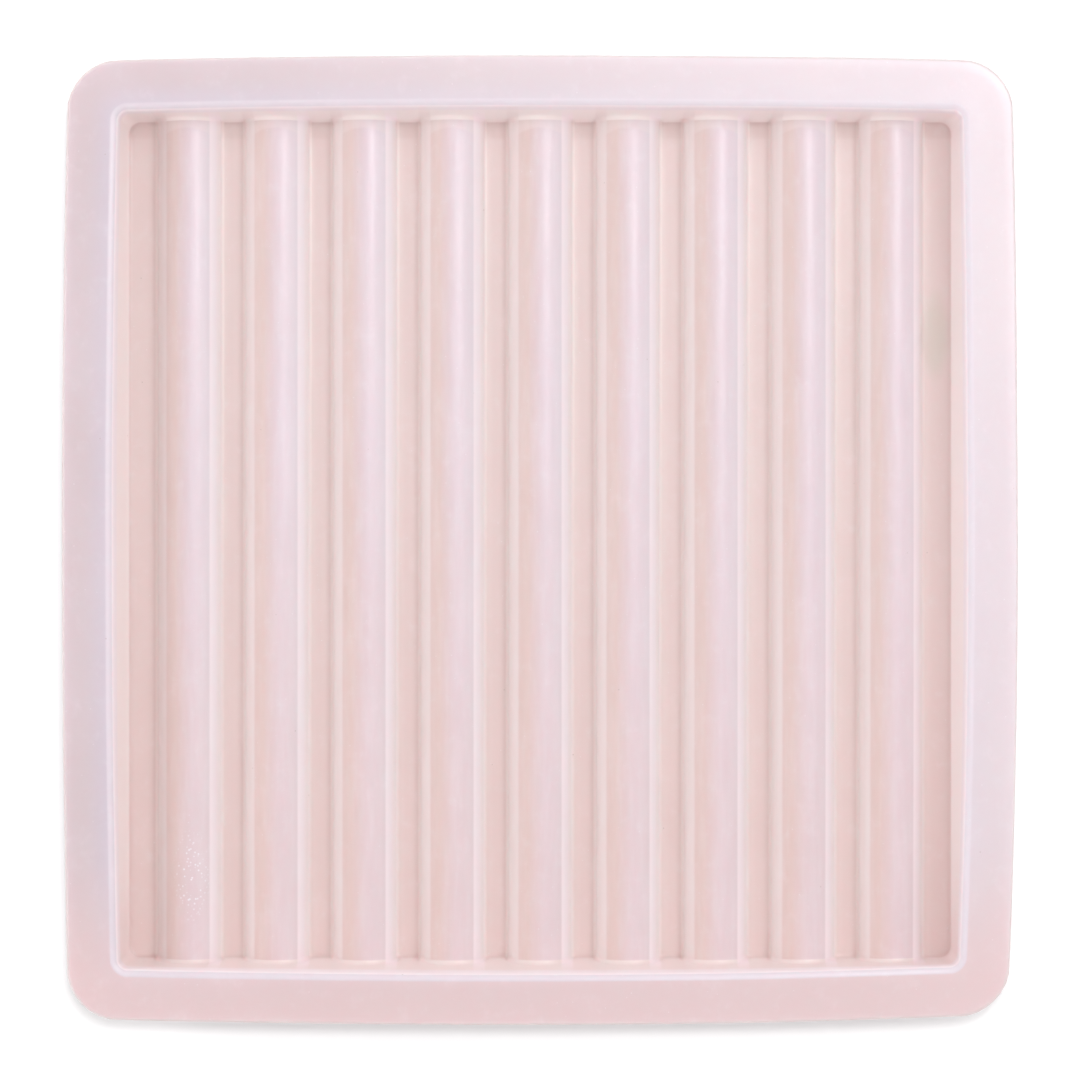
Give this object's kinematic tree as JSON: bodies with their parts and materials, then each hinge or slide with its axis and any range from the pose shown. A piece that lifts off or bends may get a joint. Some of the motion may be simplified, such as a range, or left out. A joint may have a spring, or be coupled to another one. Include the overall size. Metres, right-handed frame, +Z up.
{
  "type": "soap embed mould",
  "caption": "Shallow square silicone tray mould with a wide flat flange, a rounded lip and full-length hollow half-round columns for casting round soap embeds.",
  "frame": {"origin": "middle of the underside, in the plane that the mould stands on", "axes": "+Z up out of the recess, +Y along the columns, +X across the columns"},
  "size_m": [0.276, 0.28, 0.0245],
  "materials": {
    "silicone": "satin, translucent, pale pink silicone"
  },
  "bodies": {
    "root": {"front_wall": "silicone", "right_wall": "silicone", "back_wall": "silicone", "left_wall": "silicone", "front_right_corner_wall": "silicone", "back_right_corner_wall": "silicone", "back_left_corner_wall": "silicone", "front_left_corner_wall": "silicone", "front_flange": "silicone", "right_flange": "silicone", "back_flange": "silicone", "left_flange": "silicone", "front_right_corner_flange": "silicone", "back_right_corner_flange": "silicone", "back_left_corner_flange": "silicone", "front_left_corner_flange": "silicone", "floor_strip_01": "silicone", "floor_strip_02": "silicone", "floor_strip_03": "silicone", "floor_strip_04": "silicone", "floor_strip_05": "silicone", "floor_strip_06": "silicone", "floor_strip_07": "silicone", "floor_strip_08": "silicone", "floor_strip_09": "silicone", "floor_strip_10": "silicone", "column_01": "silicone", "column_02": "silicone", "column_03": "silicone", "column_04": "silicone", "column_05": "silicone", "column_06": "silicone", "column_07": "silicone", "column_08": "silicone", "column_09": "silicone"}
  },
  "joints": []
}
